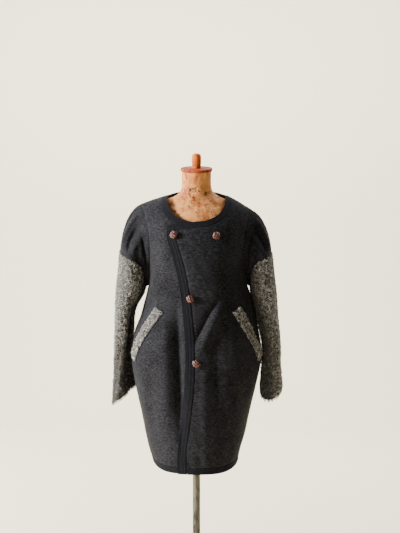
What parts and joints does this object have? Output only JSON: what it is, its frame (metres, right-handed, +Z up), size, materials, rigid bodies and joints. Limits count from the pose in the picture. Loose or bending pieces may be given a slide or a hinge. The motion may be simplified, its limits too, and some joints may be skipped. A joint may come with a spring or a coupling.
{
  "type": "wool jacket on a limbless dress form and its stand",
  "caption": "Collarless cocoon-shaped wool jacket, overlapped and buttoned, with looped-yarn sleeves and pocket welts, on a limbless dress form with a pole stand.",
  "frame": {"origin": "on the floor under the middle of the pole, the centre of the round base plate's underside", "axes": "+Z up along the pole, -Y towards the viewer of the picture and the front of the jacket, +X towards the wearer's left"},
  "size_m": [0.5778, 0.34, 1.5058],
  "materials": {
    "felted_wool": "matte",
    "wool_binding": "matte",
    "looped_yarn": "matte",
    "plaited_leather": "satin",
    "paper_mache": "matte",
    "red_wood": "satin",
    "orange_wood": "satin",
    "worn_steel": "satin",
    "black_iron": "matte"
  },
  "bodies": {
    "root": {"front_right": "felted_wool", "front_left": "felted_wool", "back": "felted_wool", "upper_sleeve_right": "felted_wool", "upper_sleeve_left": "felted_wool", "front_band": "wool_binding", "hem_band_right": "wool_binding", "hem_band_left": "wool_binding", "hem_band_back": "wool_binding", "neck_binding_right": "wool_binding", "neck_binding_left": "wool_binding", "neck_binding_back": "wool_binding", "sleeve_right_front": "looped_yarn", "sleeve_right_back": "looped_yarn", "sleeve_left_front": "looped_yarn", "sleeve_left_back": "looped_yarn", "welt_right": "looped_yarn", "welt_left": "looped_yarn", "button_1": "plaited_leather", "button_2": "plaited_leather", "button_3": "plaited_leather", "button_4": "plaited_leather", "form_torso": "paper_mache", "neck_cap": "red_wood", "cap_knob": "orange_wood", "form_socket": "worn_steel", "pole": "worn_steel", "base_hub": "black_iron", "base_plate": "black_iron"}
  },
  "joints": []
}
